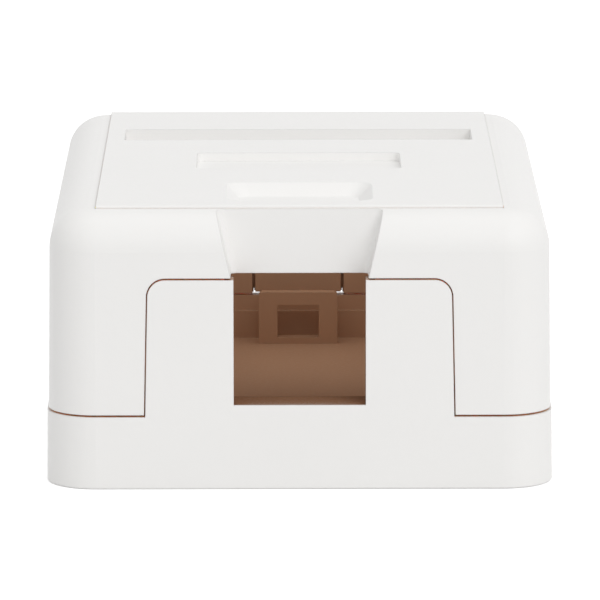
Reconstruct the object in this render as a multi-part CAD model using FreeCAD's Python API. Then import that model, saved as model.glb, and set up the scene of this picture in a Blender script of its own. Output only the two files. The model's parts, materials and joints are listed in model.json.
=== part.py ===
import FreeCAD, Part
import math
import os

# Surface mount jack box for one modular jack, in millimetres.
# The base is a drafted tray with an upright front panel that holds the jack, the cover is a
# drafted shell that drops over it, and a label plate slides into the cover's top from behind.
# Origin: centre of the footprint on the mounting surface. +Z up, the jack opening faces -Y.

# Body
base_width = 56.35
base_length = 77.05
draft_deg = 0.6             # every outer face leans in as it rises
corner_radius = 5.6         # upright corners, in plan
foot_edge = 0.15            # bevel round the mounting face
seam_height = 8.24          # middle of the gap between base and cover
seam_gap = 0.2
shoulder_height = 30.8      # top of the cover beside the label plate
crown_radius = 4.3          # rounding along the cover's top edges
cover_inset = 0.15          # the cover stands in from the base by this much

# Base tray
base_wall = 2.8             # lower part of the tray wall
rim_wall = 2.3              # thinner upper part, above the inner ledge
ledge_height = 6.25
floor_top = 2.9
foot_recess = 0.8           # hollow under the floor for mounting tape
foot_rim = 3.0              # width of the rim round that hollow

# Front panel and jack opening
panel_width = 34.2          # at the seam
panel_height = 23.5
panel_side_deg = 1.25       # lean of the panel's upright sides
panel_corner = 1.9
panel_wall = 2.4
panel_gap = 0.14             # cover to panel, at the sides
panel_top_gap = 0.18
port_width = 14.6
port_sill = 9.5
frame_depth = 5.15          # jack frame behind the panel's face
cheek_wall = 2.0            # frame walls beside the jack
cheek_height = 23.1
sill_thickness = 2.0
latch_slot_depth = 0.9      # pockets in the cheeks for the jack's side latches
latch_slot_width = 1.6
latch_slot_height = 6.0
latch_slot_base = 14.0

# Wall screws
screw_spacing = 30.0
screw_hole = 4.2
screw_boss = 8.4
screw_boss_height = 1.0     # above the floor
screw_offset = 4.0          # behind the middle of the box

# Cable anchor at the back of the tray
anchor_width = 9.6
anchor_thickness = 1.6
anchor_height = 9.25        # its top, above the mounting face
anchor_corner = 0.6
anchor_setback = 4.45       # anchor face to the tray's rear rim
anchor_window_width = 5.0
anchor_window_low = 3.7
anchor_window_high = 7.65

# Snap arms on the base and catch beads in the cover
arm_width = 7.0
arm_thickness = 1.3
arm_height = 14.9
arm_spacing = 30.0          # front pair to back pair
arm_middle = 3.0            # middle of the two pairs, behind the middle of the box
hook_reach = 0.5
hook_rise = 2.0
hook_lead = 0.4             # flat nose at the top of the hook's ramp
bead_reach = 0.5
bead_height = 1.0
bead_flat = 0.5             # flat nose of the bead
bead_gap = 0.3              # under the hook
hook_clearance = 0.12       # hook tip to bead tip, with the arm pressed in

# Lip inside the side seams
lip_wall = 0.9
lip_height = 1.0
lip_clearance = 0.15
lip_front = 9.0             # from the front face
lip_back = 9.0              # from the rear face

# Cover
cover_wall = 2.2
roof_thickness = 1.7        # under the label plate's pocket

# Finger notch in the cover above the jack
notch_depth = 4.3           # behind the foot of the front face
notch_base = 23.6
notch_base_width = 15.2
notch_top_width = 18.5
notch_fillet = 0.7
notch_wall = 1.5

# Cable break-out in the cover's rear wall
breakout_width = 10.8       # middle to middle of its grooves
breakout_top = 17.5
breakout_corner = 2.0
groove_width = 0.35
groove_skin = 1.2           # left outside the groove
breakout_lift = 0.2         # its lower edge, above the cover's rim
slit_height = 0.5           # cut right through the skin at the foot of each groove
slit_width = 0.06
pry_relief = 0.1            # fall of the tray's rim under the break-out, outwards

# Label plate and its rails
plate_width = 45.14
plate_front = 4.75          # behind the foot of the front face
plate_proud = 0.3           # above the shoulders
plate_thickness = 2.05
plate_clearance = 0.06
plate_edge = 0.25           # rounding along the plate's front edge
rail_reach = 0.8
rail_thickness = 0.75
window_width = 41.0         # label window
window_low = 51.0
window_high = 58.95
icon_width = 23.5           # icon recess
icon_low = 30.2
icon_high = 41.4
icon_depth = 1.0
icon_corner = 0.8
scoop_width = 16.4          # fingertip scoop
scoop_low = 7.9
scoop_high = 20.6
scoop_depth = 1.45
scoop_slope = 1.45          # run of the scoop's sloping sides
scoop_corner = 2.0

# Modelling aids
fuse_depth = 0.5            # pieces moulded onto the floor or a wall run this far into it
beyond = 5.0                # cutting tools run this far past a face
tolerance = 0.01            # for picking edges by their place

# Values that follow from the sizes above
lean = math.tan(math.radians(draft_deg))
base_rim = seam_height - seam_gap / 2
cover_rim = seam_height + seam_gap / 2
crown_middle = shoulder_height - crown_radius
pocket_floor = shoulder_height + plate_proud - plate_thickness - plate_clearance
pocket_half = plate_width / 2 + plate_clearance
roof_under = pocket_floor - roof_thickness
front = -base_length / 2
rear = base_length / 2
above = shoulder_height + 10.0      # safely above everything, for cutting tools


def box(x0, x1, y0, y1, z0, z1):
    return Part.makeBox(x1 - x0, y1 - y0, z1 - z0, FreeCAD.Vector(x0, y0, z0))


def middle_box(width, y0, y1, z0, z1):
    return box(-width / 2, width / 2, y0, y1, z0, z1)


def half_width(inset, z):
    return base_width / 2 - inset - z * lean


def half_length(inset, z):
    return base_length / 2 - inset - z * lean


def rounded_rectangle(x0, x1, y0, y1, radius, z):
    """Closed wire: a rectangle at height z with round corners."""
    corners = [(x1, y0, 270), (x1, y1, 0), (x0, y1, 90), (x0, y0, 180)]
    arcs = []
    for x, y, start in corners:
        centre = FreeCAD.Vector(
            x - math.copysign(radius, x - (x0 + x1) / 2),
            y - math.copysign(radius, y - (y0 + y1) / 2),
            z,
        )
        circle = Part.Circle(centre, FreeCAD.Vector(0, 0, 1), radius)
        arcs.append(Part.Arc(circle, math.radians(start), math.radians(start + 90)))
    edges = []
    for index, arc in enumerate(arcs):
        following = arcs[(index + 1) % len(arcs)]
        edges.append(arc.toShape())
        edges.append(Part.LineSegment(arc.EndPoint, following.StartPoint).toShape())
    return Part.Wire(edges)


def tapered_block(radius0, z0, radius1, z1):
    """Solid between two heights: round corners about the body's four corner axes, flat between."""
    x, y = base_width / 2 - corner_radius, base_length / 2 - corner_radius
    turn = (FreeCAD.Vector(0, 0, 0), FreeCAD.Vector(1, 0, 0), 90)
    across = Part.makeWedge(-x - radius0, z0, -y, -y, -x - radius1, x + radius0, z1, y, y, x + radius1)
    along = Part.makeWedge(-x, z0, -y - radius0, -y - radius1, -x, x, z1, y + radius0, y + radius1, x)
    across.rotate(*turn)
    along.rotate(*turn)
    corners = [
        Part.makeCone(radius0, radius1, z1 - z0, FreeCAD.Vector(side * x, end * y, z0))
        for side in (-1, 1)
        for end in (-1, 1)
    ]
    return across.fuse([along] + corners).removeSplitter()


def drafted_block(inset, z0, z1):
    """Solid between two heights, set in from the body's drafted outer form."""
    radius = corner_radius - inset
    return tapered_block(radius - z0 * lean, z0, radius - z1 * lean, z1)


def edges_at(shape, z):
    """Edges of a shape that lie wholly at one height."""
    found = []
    for edge in shape.Edges:
        bounds = edge.BoundBox
        if abs(bounds.ZMin - z) < tolerance and abs(bounds.ZMax - z) < tolerance:
            found.append(edge)
    return found


def prism_along_y(points, y0, y1):
    """Extrude an outline given in X and Z from y0 to y1."""
    corners = [FreeCAD.Vector(x, y0, z) for x, z in points]
    face = Part.Face(Part.makePolygon(corners + corners[:1]))
    return face.extrude(FreeCAD.Vector(0, y1 - y0, 0))


def panel_half(z, gap):
    """Half the panel's width at a height, its sides leaning in."""
    return panel_width / 2 + gap - (z - seam_height) * math.tan(math.radians(panel_side_deg))


def panel_prism(side_gap, top_gap, y0, y1):
    """Outline of the front panel with round upper corners, extruded along Y."""
    top = panel_height + top_gap
    outline = [(-panel_half(0, side_gap), 0), (panel_half(0, side_gap), 0)]
    outline += [(panel_half(top, side_gap), top), (-panel_half(top, side_gap), top)]
    prism = prism_along_y(outline, y0, y1)
    corners = [
        edge
        for edge in prism.Edges
        if edge.BoundBox.YLength > y1 - y0 - tolerance and edge.BoundBox.ZMin > top / 2
    ]
    return prism.makeFillet(panel_corner + top_gap, corners)


def lip_band(outer_inset, inner_inset, z0, z1, spare):
    """Band along the two long sides only, between two insets and two heights."""
    ring = drafted_block(outer_inset, z0, z1).cut(drafted_block(inner_inset, z0, z1))
    reach = middle_box(base_width, front + lip_front - spare, rear - lip_back + spare, z0, z1)
    return ring.common(reach)


def arm_places():
    """Middles of the snap arms, as a side and a position along Y."""
    places = []
    for side in (-1, 1):
        for step in (-0.5, 0.5):
            places.append((side, arm_middle + step * arm_spacing))
    return places


def bead_tip():
    """Distance of the catch beads' tips from the middle plane."""
    return half_width(cover_inset + cover_wall, bead_middle()) - bead_reach


def bead_middle():
    return arm_height - hook_rise - bead_gap - bead_height / 2


def snap_arm(side, y):
    """Upright arm with a hook that faces the side wall, drawn pressed in."""
    tip = bead_tip() - hook_clearance
    outer = tip - hook_reach
    inner = outer - arm_thickness
    hook_base = arm_height - hook_rise
    outline = [
        (inner, floor_top - fuse_depth),
        (outer, floor_top - fuse_depth),
        (outer, hook_base),
        (tip, hook_base),
        (tip, hook_base + hook_lead),
        (outer - hook_lead, arm_height),
        (inner, arm_height),
    ]
    points = [(side * x, z) for x, z in outline]
    return prism_along_y(points, y - arm_width / 2, y + arm_width / 2)


def make_tray():
    top_of_edge = corner_radius - foot_edge * lean
    foot = tapered_block(corner_radius - foot_edge, 0, top_of_edge, foot_edge)
    tray = foot.fuse(drafted_block(0, foot_edge, base_rim))
    lower = drafted_block(base_wall, floor_top, ledge_height)
    upper = drafted_block(rim_wall, ledge_height, base_rim)
    tray = tray.cut(lower.fuse(upper))
    lip_outer = rim_wall - lip_wall
    lip = lip_band(lip_outer, rim_wall, base_rim - fuse_depth, base_rim + lip_height, 0)
    return tray.fuse(lip)


def make_panel():
    """Front panel, sill and cheeks, before the jack opening is cut."""
    low = floor_top - fuse_depth
    skin = drafted_block(0, low, above).cut(drafted_block(panel_wall, low, above))
    panel = panel_prism(0, 0, front - beyond, front + notch_depth).common(skin)
    frame_back = front + frame_depth
    frame_front = front + panel_wall - fuse_depth
    cheek_outer = port_width / 2 + cheek_wall
    for side in (-1, 1):
        inner = side * port_width / 2
        outer = side * cheek_outer
        cheek = box(min(inner, outer), max(inner, outer), frame_front, frame_back, low, cheek_height)
        panel = panel.fuse(cheek)
    sill = middle_box(2 * cheek_outer, frame_front, frame_back, port_sill - sill_thickness, port_sill)
    return panel.fuse(sill)


def port_tool():
    """Jack opening with the latch pockets in its sides."""
    back = front + frame_depth + beyond
    tool = middle_box(port_width, front - beyond, back, port_sill, above)
    slot_back = front + frame_depth - latch_slot_width / 2
    slot = middle_box(
        port_width + 2 * latch_slot_depth,
        slot_back - latch_slot_width,
        slot_back,
        latch_slot_base,
        latch_slot_base + latch_slot_height,
    )
    return tool.fuse(slot)


def make_anchor():
    """Upright loop for a cable tie, standing on the floor near the rear wall."""
    face = half_length(rim_wall, seam_height) - anchor_setback
    back = face + anchor_thickness
    loop = middle_box(anchor_width, face, back, floor_top - fuse_depth, anchor_height)
    corners = [
        edge
        for edge in loop.Edges
        if edge.BoundBox.YLength > anchor_thickness - tolerance and edge.BoundBox.ZMin > floor_top
    ]
    loop = loop.makeFillet(anchor_corner, corners)
    window = middle_box(
        anchor_window_width, face - beyond, back + beyond, anchor_window_low, anchor_window_high
    )
    return loop.cut(window)


def screw_places():
    return [(side * screw_spacing / 2, screw_offset) for side in (-1, 1)]


def cylinder(x, y, z0, z1, radius):
    return Part.makeCylinder(radius, z1 - z0, FreeCAD.Vector(x, y, z0))


def make_base():
    base = make_tray().fuse(make_panel())
    base = base.cut(port_tool())
    hollow = drafted_block(foot_rim, 0, foot_recess)
    for x, y in screw_places():
        hollow = hollow.cut(cylinder(x, y, 0, foot_recess, screw_boss / 2))
    base = base.cut(hollow)
    base = base.cut(relief_tool())
    base = base.fuse(make_anchor())
    for side, y in arm_places():
        base = base.fuse(snap_arm(side, y))
    for x, y in screw_places():
        boss_top = floor_top + screw_boss_height
        base = base.fuse(cylinder(x, y, floor_top - fuse_depth, boss_top, screw_boss / 2))
        base = base.cut(cylinder(x, y, -beyond, boss_top + beyond, screw_hole / 2))
    return base.removeSplitter()


def notch_prism(grow, y0, y1, z_low):
    """Finger notch outline, wider at the top, extruded along Y."""
    slope = (notch_top_width - notch_base_width) / 2 / (shoulder_height - notch_base)
    outline = []
    for z, sides in ((z_low, (-1, 1)), (above, (1, -1))):
        half = notch_base_width / 2 + (z - notch_base) * slope + grow
        outline += [(side * half, z) for side in sides]
    return prism_along_y(outline, y0, y1)


def notch_tool():
    """The notch itself, with its inner upright corners rounded."""
    back = front + notch_depth
    tool = notch_prism(0, front - beyond, back, notch_base - beyond)
    corners = [
        edge
        for edge in tool.Edges
        if edge.BoundBox.ZLength > beyond and edge.BoundBox.YMin > back - tolerance
    ]
    return tool.makeFillet(notch_fillet, corners)


def notch_backing():
    """Material that carries the notch inside the cavity."""
    back = front + notch_depth + notch_wall
    block = notch_prism(notch_wall, front + cover_wall / 2, back, notch_base)
    return block.cut(middle_box(base_width, front, rear, roof_under + fuse_depth, above))


def plate_profile(z0, z1, width):
    """Slab of the label plate's length whose rear end follows the cover's crown."""
    start = front + plate_front
    slab = middle_box(width, start, rear, z0, z1)
    middle_y = half_length(cover_inset, crown_middle) - crown_radius
    round_end = Part.makeCylinder(
        crown_radius + plate_proud,
        width,
        FreeCAD.Vector(-width / 2, middle_y, crown_middle),
        FreeCAD.Vector(1, 0, 0),
    )
    slab_end = slab.common(round_end)
    slab_start = slab.common(middle_box(width, start, middle_y, z0, z1))
    return slab_start.fuse(slab_end)


def plate_pocket():
    """Pocket for the label plate and its rails, open at the rear."""
    start = front + plate_front - plate_clearance
    pocket = middle_box(2 * pocket_half, start, rear + beyond, pocket_floor, above)
    groove_half = pocket_half + rail_reach
    groove_top = pocket_floor + rail_thickness + 2 * plate_clearance
    groove = middle_box(2 * groove_half, start, rear + beyond, pocket_floor, groove_top)
    return pocket.fuse(groove)


def breakout_tool():
    """Grooves round the cable break-out, and the slits at its lower corners."""
    inner = half_length(cover_inset + cover_wall, seam_height) - beyond
    skin_face = half_length(cover_inset, seam_height) - groove_skin
    half = breakout_width / 2
    low = cover_rim - beyond
    rings = []
    for offset in (groove_width / 2, -groove_width / 2):
        ring = middle_box(2 * (half + offset), inner, skin_face, low, breakout_top + offset)
        corners = [
            edge
            for edge in ring.Edges
            if edge.BoundBox.YLength > skin_face - inner - tolerance
            and edge.BoundBox.ZMin > breakout_top - breakout_corner
        ]
        rings.append(ring.makeFillet(breakout_corner + offset, corners))
    tool = rings[0].cut(rings[1])
    for side in (-1, 1):
        x = side * half
        slit = box(x - slit_width / 2, x + slit_width / 2, inner, rear + beyond, low, cover_rim + slit_height)
        tool = tool.fuse(slit)
    return tool.fuse(middle_box(breakout_width, inner, rear + beyond, low, cover_rim + breakout_lift))


def relief_tool():
    """Wedge off the tray's rear rim under the break-out, deeper towards the outside."""
    inner = half_length(rim_wall, base_rim)
    outer = half_length(0, base_rim)
    fall = pry_relief / (outer - inner)
    half = (breakout_width + groove_width) / 2
    outline = [
        FreeCAD.Vector(-half, inner - beyond, base_rim + beyond * fall),
        FreeCAD.Vector(-half, rear + beyond, base_rim - (rear + beyond - inner) * fall),
        FreeCAD.Vector(-half, rear + beyond, above),
        FreeCAD.Vector(-half, inner - beyond, above),
    ]
    face = Part.Face(Part.makePolygon(outline + outline[:1]))
    return face.extrude(FreeCAD.Vector(2 * half, 0, 0))


def catch_bead(side, y):
    """Half-round bead on the cover's side wall, just under the arm's hook."""
    z = bead_middle()
    wall = half_width(cover_inset + cover_wall, z)
    outline = [
        (wall + fuse_depth, z - bead_height),
        (wall - bead_reach, z - bead_flat / 2),
        (wall - bead_reach, z + bead_flat / 2),
        (wall, z + bead_height / 2),
        (wall + fuse_depth, z + bead_height / 2),
    ]
    points = [(side * x, height) for x, height in outline]
    return prism_along_y(points, y - arm_width / 2, y + arm_width / 2)


def make_cover():
    outer = drafted_block(cover_inset, cover_rim, shoulder_height)
    outer = outer.makeFillet(crown_radius, edges_at(outer, shoulder_height))
    wall = cover_inset + cover_wall
    cavity = drafted_block(wall, cover_rim, roof_under).cut(notch_backing())
    cover = outer.cut(cavity)
    cover = cover.cut(notch_tool())
    cover = cover.cut(panel_prism(panel_gap, panel_top_gap, front - beyond, front + wall + fuse_depth))
    cover = cover.cut(plate_pocket())
    rebate_outer = rim_wall - lip_wall - lip_clearance
    rebate_top = base_rim + lip_height + seam_gap
    rebate = lip_band(rebate_outer, wall + fuse_depth, cover_rim - beyond, rebate_top, lip_clearance)
    cover = cover.cut(rebate)
    cover = cover.cut(breakout_tool())
    for side, y in arm_places():
        cover = cover.fuse(catch_bead(side, y))
    return cover.removeSplitter()


def scoop_tool():
    """Fingertip scoop with sloping sides, wider at the plate's face."""
    top = shoulder_height + plate_proud
    wires = []
    for depth in (-plate_proud, scoop_depth):
        run = scoop_slope * depth / scoop_depth
        half = scoop_width / 2 - run
        y0 = front + scoop_low + run
        y1 = front + scoop_high - run
        radius = scoop_corner - run / 2
        wires.append(rounded_rectangle(-half, half, y0, y1, radius, top - depth))
    return Part.makeLoft(wires, True, True)


def make_label_plate():
    top = shoulder_height + plate_proud
    under = top - plate_thickness
    plate = plate_profile(under, top, plate_width)
    edges = [edge for edge in edges_at(plate, top) if edge.BoundBox.YMax < front + plate_front + tolerance]
    plate = plate.makeFillet(plate_edge, edges)
    rail_width = plate_width + 2 * rail_reach
    plate = plate.fuse(plate_profile(under, under + rail_thickness, rail_width))
    plate = plate.cut(middle_box(window_width, front + window_low, front + window_high, 0, above))
    half = icon_width / 2
    icon_floor = top - icon_depth
    icon = rounded_rectangle(-half, half, front + icon_low, front + icon_high, icon_corner, icon_floor)
    plate = plate.cut(Part.Face(icon).extrude(FreeCAD.Vector(0, 0, beyond)))
    plate = plate.cut(scoop_tool())
    return plate.removeSplitter()


nodes = {
    "base": make_base(),
    "cover": make_cover(),
    "label_plate": make_label_plate(),
}

os.makedirs("parts", exist_ok=True)
for name, shape in nodes.items():
    solid = shape.Solids[0]
    print(name, "solids", len(shape.Solids), "volume", round(shape.Volume, 1), "valid", shape.isValid())
    solid.exportStep("parts/" + name + ".step")
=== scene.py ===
import json
import math

import bpy
from mathutils import Matrix, Vector


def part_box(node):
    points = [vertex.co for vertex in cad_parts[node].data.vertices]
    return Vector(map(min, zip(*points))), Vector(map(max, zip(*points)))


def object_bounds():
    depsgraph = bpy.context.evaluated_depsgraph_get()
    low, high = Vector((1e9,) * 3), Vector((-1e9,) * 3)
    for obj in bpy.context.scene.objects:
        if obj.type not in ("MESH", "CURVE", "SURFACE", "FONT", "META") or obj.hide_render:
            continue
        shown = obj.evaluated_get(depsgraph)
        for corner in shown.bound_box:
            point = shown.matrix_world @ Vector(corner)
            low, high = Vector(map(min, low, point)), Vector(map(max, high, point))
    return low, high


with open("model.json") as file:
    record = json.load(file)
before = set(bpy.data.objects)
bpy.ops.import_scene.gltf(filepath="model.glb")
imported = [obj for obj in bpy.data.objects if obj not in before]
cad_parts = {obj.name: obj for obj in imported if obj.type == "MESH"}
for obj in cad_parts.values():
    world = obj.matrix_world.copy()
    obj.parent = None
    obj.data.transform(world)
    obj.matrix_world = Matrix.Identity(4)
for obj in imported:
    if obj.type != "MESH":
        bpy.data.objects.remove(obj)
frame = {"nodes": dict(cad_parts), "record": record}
cad_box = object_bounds()
openings = {entry["name"]: entry["box_m"] for entry in frame["record"]["physics"]["openings"]}
port_box = [Vector(corner) for corner in openings["jack_port"]]
plate_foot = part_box("label_plate")[0].z

# Camera, in metres and degrees from the foot of the box's front face
CAMERA_OFFSET = -0.0018
CAMERA_DISTANCE = 0.6798
CAMERA_HEIGHT = 0.1475
CAMERA_PITCH = 10.513
CAMERA_YAW = 0.155
CAMERA_ROLL = -0.078
CAMERA_LENS = 376.4
CAMERA_SENSOR = 36.0
CAMERA_FAR = 50.0

# Studio: area lamps in metres and watts, and a world and floor that show white
WHITE = (1.0, 1.0, 1.0, 1.0)
FILL_STRENGTH = 0.68
SEEN_STRENGTH = 1.0
BOX_MIDDLE = (0.0, 0.0, 0.015)
KEY = {"place": (0.6, -1.2, 0.9), "size": (1.0, 1.0), "power": 6.5}
RIGHT = {"place": (0.9, -1.0, 1.3), "size": (0.9, 0.9), "power": 2.2}
TOP = {"place": (0.0, 0.2, 1.6), "size": (1.2, 1.2), "power": 3.6}
FLOOR_REACH = 4.0
FLOOR_DROP = 0.00001
FLOOR_COLOR = (0.85, 0.85, 0.85, 1.0)
FLOOR_GLOW = 0.45

# Daylight that soaks through the walls: a lamp in the closed cavity, under the cover's roof
SOAK = {
    "place": (0.0, 0.019, 0.023),
    "target": (0.0, 0.019, 0.0),
    "size": (0.040, 0.034),
    "power": 0.0026,
    "color": (1.0, 0.97, 0.90),
}

# Colour of the white ABS in the open; painted light that brightens its hollows; painted shade: brown
# where it is enclosed, orange in its seams and dark brown in the jack opening
ABS_COLOR = (0.86, 0.852, 0.838, 1.0)
ABS_PAINTED_HOLLOW_LIGHT = (0.90, 0.893, 0.88, 1.0)
ABS_PAINTED_ENCLOSED_SHADE = (0.62, 0.405, 0.275, 1.0)
ABS_PAINTED_SEAM_SHADE = (0.98, 0.62, 0.30, 1.0)
ABS_PAINTED_PORT_SHADE = (0.31, 0.165, 0.095, 1.0)

# Occlusion that tells those places apart: reach in metres, samples, and the span over which each fades
HIDDEN_REACH = 0.08
HIDDEN_SPAN = (0.15, 0.30)
COVERED_SPAN = (0.56, 0.68)
HOLLOW_REACH = 0.014
HOLLOW_SPAN = (0.50, 1.0)
WIDE_SAMPLES = 8
SEAM_REACH = 0.0005
SEAM_SPAN = (0.10, 0.27)
SEAM_SAMPLES = 16

# Heights between which the painted shade fades, over the floor and under the label plate, in metres
FLOOR_SPAN = (0.0012, 0.0022)
ROOF_SPAN = (-0.0005, -0.0002)

# The painted brown shade in the jack opening: the front face's lean, and how far each fade lies from the
# opening, in metres
DRAFT = math.tan(math.radians(0.6))
PORT_FRONT = (0.0001, 0.0002)
PORT_BACK = (0.0002, 0.0004)
PORT_SIDE = (0.0010, 0.0012)
PORT_SILL = (-0.0006, -0.0004)

# Finish of the ABS: noise scales are per metre, lengths are in metres
CLOUD_SCALE = 90.0
CLOUD_DETAIL = 3.0
CLOUD_SHADE = 0.985
GRAIN_SCALE = 3200.0
GRAIN_DETAIL = 2.0
GRAIN_SPAN = (0.3, 0.7)
ROUGHNESS = (0.38, 0.50)
SPECULAR_LEVEL = 0.25
SCATTER_RADIUS = (1.0, 0.5, 0.2)
SCATTER_SCALE = 0.0025
EDGE_RADIUS = 0.00015
EDGE_SAMPLES = 4
BUMP_STRENGTH = 0.25
BUMP_DISTANCE = 0.00002

RISE = (0.0, 1.0)
FALL = (1.0, 0.0)


def add_camera():
    low, high = cad_box
    camera = bpy.data.objects.new("camera", bpy.data.cameras.new("camera"))
    bpy.context.scene.collection.objects.link(camera)
    middle = (low.x + high.x) / 2
    turn = (
        Matrix.Rotation(math.radians(-CAMERA_YAW), 4, "Z")
        @ Matrix.Rotation(math.radians(90 - CAMERA_PITCH), 4, "X")
        @ Matrix.Rotation(math.radians(CAMERA_ROLL), 4, "Z")
    )
    place = Vector((middle + CAMERA_OFFSET, low.y - CAMERA_DISTANCE, low.z + CAMERA_HEIGHT))
    camera.matrix_world = Matrix.Translation(place) @ turn
    camera.data.lens = CAMERA_LENS
    camera.data.sensor_width = CAMERA_SENSOR
    camera.data.clip_end = CAMERA_FAR
    bpy.context.scene.camera = camera


def add_lamp(name, place, size, power, target=BOX_MIDDLE, color=WHITE[:3]):
    data = bpy.data.lights.new(name, "AREA")
    data.shape = "RECTANGLE"
    data.size, data.size_y = size
    data.energy = power
    data.color = color
    lamp = bpy.data.objects.new(name, data)
    bpy.context.scene.collection.objects.link(lamp)
    lamp.location = place
    lamp.rotation_euler = (Vector(target) - Vector(place)).to_track_quat("-Z", "Y").to_euler()
    return lamp


def add_math(tree, operation, first, second):
    """A Math node of two values, each a socket or a number."""
    node = tree.nodes.new("ShaderNodeMath")
    node.operation = operation
    for socket, value in zip(node.inputs, (first, second)):
        if isinstance(value, bpy.types.NodeSocket):
            tree.links.new(value, socket)
        else:
            socket.default_value = value
    return node.outputs["Value"]


def add_product(tree, first, *others):
    product = first
    for other in others:
        product = add_math(tree, "MULTIPLY", product, other)
    return product


def add_range(tree, value, span, result):
    """The value's way through the span, smoothed and given as the way through the result."""
    node = tree.nodes.new("ShaderNodeMapRange")
    node.interpolation_type = "SMOOTHSTEP"
    node.inputs["From Min"].default_value = span[0]
    node.inputs["From Max"].default_value = span[1]
    node.inputs["To Min"].default_value = result[0]
    node.inputs["To Max"].default_value = result[1]
    tree.links.new(value, node.inputs["Value"])
    return node.outputs["Result"]


def add_noise(tree, coordinates, scale, detail):
    node = tree.nodes.new("ShaderNodeTexNoise")
    node.inputs["Scale"].default_value = scale
    node.inputs["Detail"].default_value = detail
    tree.links.new(coordinates, node.inputs["Vector"])
    return node.outputs["Fac"]


def add_occlusion(tree, reach, samples, own_piece_only=False):
    """1 in the open, and less the more of its surroundings lie within reach."""
    node = tree.nodes.new("ShaderNodeAmbientOcclusion")
    node.samples = samples
    node.only_local = own_piece_only
    node.inputs["Distance"].default_value = reach
    return node.outputs["AO"]


def add_mix(tree, factor, first, color):
    """From the first colour, a socket or a value, to the other, by the factor."""
    node = tree.nodes.new("ShaderNodeMix")
    node.data_type = "RGBA"
    if isinstance(first, bpy.types.NodeSocket):
        tree.links.new(first, node.inputs["A"])
    else:
        node.inputs["A"].default_value = first
    node.inputs["B"].default_value = color
    tree.links.new(factor, node.inputs["Factor"])
    return node.outputs["Result"]


def add_backdrop(tree, lights, shows):
    """One shader where the background lights the object, and one where it is looked at.

    It is looked at straight, in a reflection or through something clear.
    """
    path = tree.nodes.new("ShaderNodeLightPath").outputs
    indirect = add_math(tree, "MAXIMUM", path["Is Glossy Ray"], path["Is Transmission Ray"])
    looked_at = add_math(tree, "MAXIMUM", path["Is Camera Ray"], indirect)
    mix = tree.nodes.new("ShaderNodeMixShader")
    tree.links.new(looked_at, mix.inputs["Fac"])
    tree.links.new(lights, mix.inputs[1])
    tree.links.new(shows, mix.inputs[2])
    return mix.outputs["Shader"]


def add_white_sky(tree, strength):
    node = tree.nodes.new("ShaderNodeBackground")
    node.inputs["Color"].default_value = WHITE
    node.inputs["Strength"].default_value = strength
    return node.outputs["Background"]


def add_world():
    world = bpy.data.worlds.new("studio")
    bpy.context.scene.world = world
    world.use_nodes = True
    tree = world.node_tree
    tree.nodes.clear()
    lights = add_white_sky(tree, FILL_STRENGTH)
    shows = add_white_sky(tree, SEEN_STRENGTH)
    out = tree.nodes.new("ShaderNodeOutputWorld")
    tree.links.new(add_backdrop(tree, lights, shows), out.inputs["Surface"])


def add_floor():
    """A pale floor that takes the shadow and, where it is looked at, glows to white."""
    reach = FLOOR_REACH
    mesh = bpy.data.meshes.new("floor")
    corners = [(-reach, -reach, 0), (reach, -reach, 0), (reach, reach, 0), (-reach, reach, 0)]
    mesh.from_pydata(corners, [], [(0, 1, 2, 3)])
    floor = bpy.data.objects.new("floor", mesh)
    bpy.context.scene.collection.objects.link(floor)
    floor.location.z = cad_box[0].z - FLOOR_DROP
    material = bpy.data.materials.new("floor")
    material.use_nodes = True
    tree = material.node_tree
    tree.nodes.clear()
    paper = tree.nodes.new("ShaderNodeBsdfDiffuse")
    paper.inputs["Color"].default_value = FLOOR_COLOR
    glow = tree.nodes.new("ShaderNodeEmission")
    glow.inputs["Strength"].default_value = FLOOR_GLOW
    bright = tree.nodes.new("ShaderNodeAddShader")
    tree.links.new(paper.outputs["BSDF"], bright.inputs[0])
    tree.links.new(glow.outputs["Emission"], bright.inputs[1])
    out = tree.nodes.new("ShaderNodeOutputMaterial")
    surface = add_backdrop(tree, paper.outputs["BSDF"], bright.outputs["Shader"])
    tree.links.new(surface, out.inputs["Surface"])
    mesh.materials.append(material)


def add_port_mask(tree, x, y, z):
    """1 on the faces inside the jack opening, behind the front face, where the painted shade goes, and 0
    elsewhere.
    """
    low, high = port_box
    depth = add_math(tree, "SUBTRACT", y, add_math(tree, "MULTIPLY", z, DRAFT))
    beside = add_math(tree, "ABSOLUTE", x, 0.0)
    behind = add_range(tree, depth, [cad_box[0].y + step for step in PORT_FRONT], RISE)
    before = add_range(tree, depth, [high.y + step for step in PORT_BACK], FALL)
    within = add_range(tree, beside, [high.x + step for step in PORT_SIDE], FALL)
    over = add_range(tree, z, [low.z + step for step in PORT_SILL], RISE)
    return add_product(tree, behind, before, within, over)


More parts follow.
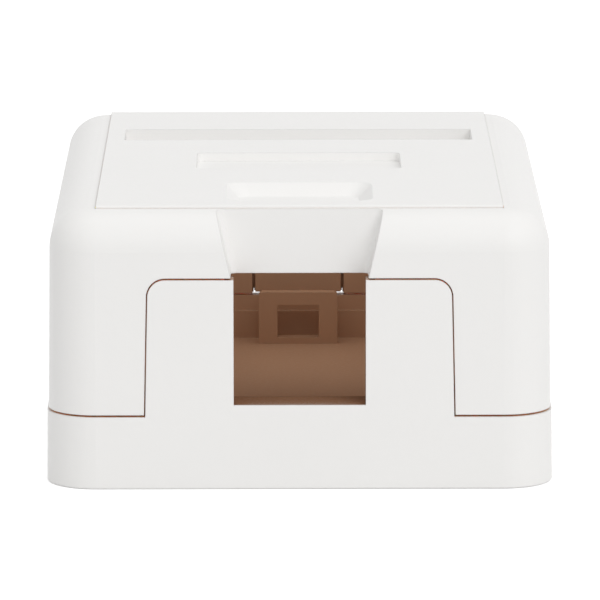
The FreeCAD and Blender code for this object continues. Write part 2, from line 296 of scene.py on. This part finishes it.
def white_plastic(name, holds_jack):
    """White ABS, with painted shade where it closes in on itself and painted light that brightens its
    hollows.
    """
    material = bpy.data.materials.new(name)
    material.use_nodes = True
    tree = material.node_tree
    sockets = tree.nodes["Principled BSDF"].inputs
    place = tree.nodes.new("ShaderNodeTexCoord").outputs["Object"]
    split = tree.nodes.new("ShaderNodeSeparateXYZ")
    tree.links.new(place, split.inputs["Vector"])
    x, y, z = split.outputs
    lifted = add_range(tree, z, FLOOR_SPAN, RISE)
    roofed = add_range(tree, z, [plate_foot + step for step in ROOF_SPAN], FALL)

    hidden = add_occlusion(tree, HIDDEN_REACH, WIDE_SAMPLES)
    near = add_occlusion(tree, HOLLOW_REACH, WIDE_SAMPLES, own_piece_only=True)
    narrow = add_occlusion(tree, SEAM_REACH, SEAM_SAMPLES)
    painted_enclosed_shade = add_product(tree, add_range(tree, hidden, HIDDEN_SPAN, FALL), lifted, roofed)
    painted_hollow_light = add_range(tree, near, HOLLOW_SPAN, FALL)
    seam_shade_and_scatter = add_product(tree, add_range(tree, narrow, SEAM_SPAN, FALL), lifted)

    cloud = add_noise(tree, place, CLOUD_SCALE, CLOUD_DETAIL)
    clouded = [CLOUD_SHADE * part for part in ABS_COLOR[:3]] + [1.0]
    color = add_mix(tree, cloud, ABS_COLOR, clouded)
    # Painted light: a lighter colour in hollows, where less light reaches, to lift their shade
    color = add_mix(tree, painted_hollow_light, color, ABS_PAINTED_HOLLOW_LIGHT)
    # Painted shade: brown where the piece is closed in, above the floor and under the label plate,
    # standing for the dim warm light inside
    color = add_mix(tree, painted_enclosed_shade, color, ABS_PAINTED_ENCLOSED_SHADE)
    # Painted shade: orange in narrow seams and creases above the floor; the same mask also sets real
    # subsurface scattering there
    color = add_mix(tree, seam_shade_and_scatter, color, ABS_PAINTED_SEAM_SHADE)
    if holds_jack:
        # Painted shade: dark brown on the faces inside the jack opening while the cover closes over it
        port_shade_mask = add_port_mask(tree, x, y, z)
        covered = add_range(tree, hidden, COVERED_SPAN, FALL)
        color = add_mix(tree, add_product(tree, port_shade_mask, covered), color, ABS_PAINTED_PORT_SHADE)
    tree.links.new(color, sockets["Base Color"])

    tree.links.new(seam_shade_and_scatter, sockets["Subsurface Weight"])
    sockets["Subsurface Radius"].default_value = SCATTER_RADIUS
    sockets["Subsurface Scale"].default_value = SCATTER_SCALE
    sockets["Specular IOR Level"].default_value = SPECULAR_LEVEL

    grain = add_noise(tree, place, GRAIN_SCALE, GRAIN_DETAIL)
    tree.links.new(add_range(tree, grain, GRAIN_SPAN, ROUGHNESS), sockets["Roughness"])
    edge = tree.nodes.new("ShaderNodeBevel")
    edge.samples = EDGE_SAMPLES
    edge.inputs["Radius"].default_value = EDGE_RADIUS
    bump = tree.nodes.new("ShaderNodeBump")
    bump.inputs["Strength"].default_value = BUMP_STRENGTH
    bump.inputs["Distance"].default_value = BUMP_DISTANCE
    tree.links.new(grain, bump.inputs["Height"])
    tree.links.new(edge.outputs["Normal"], bump.inputs["Normal"])
    tree.links.new(bump.outputs["Normal"], sockets["Normal"])
    return material


def dress(node, material):
    mesh = frame["nodes"][node].data
    mesh.materials.clear()
    mesh.materials.append(material)


add_camera()
add_world()
add_floor()
add_lamp("key", **KEY)
add_lamp("right", **RIGHT)
add_lamp("top", **TOP)
soak = add_lamp("soak", **SOAK)
soak.visible_camera = False
soak.visible_glossy = False

for node in frame["nodes"]:
    dress(node, white_plastic(node + "_plastic", node == "base"))

bpy.context.scene.view_settings.view_transform = "Standard"
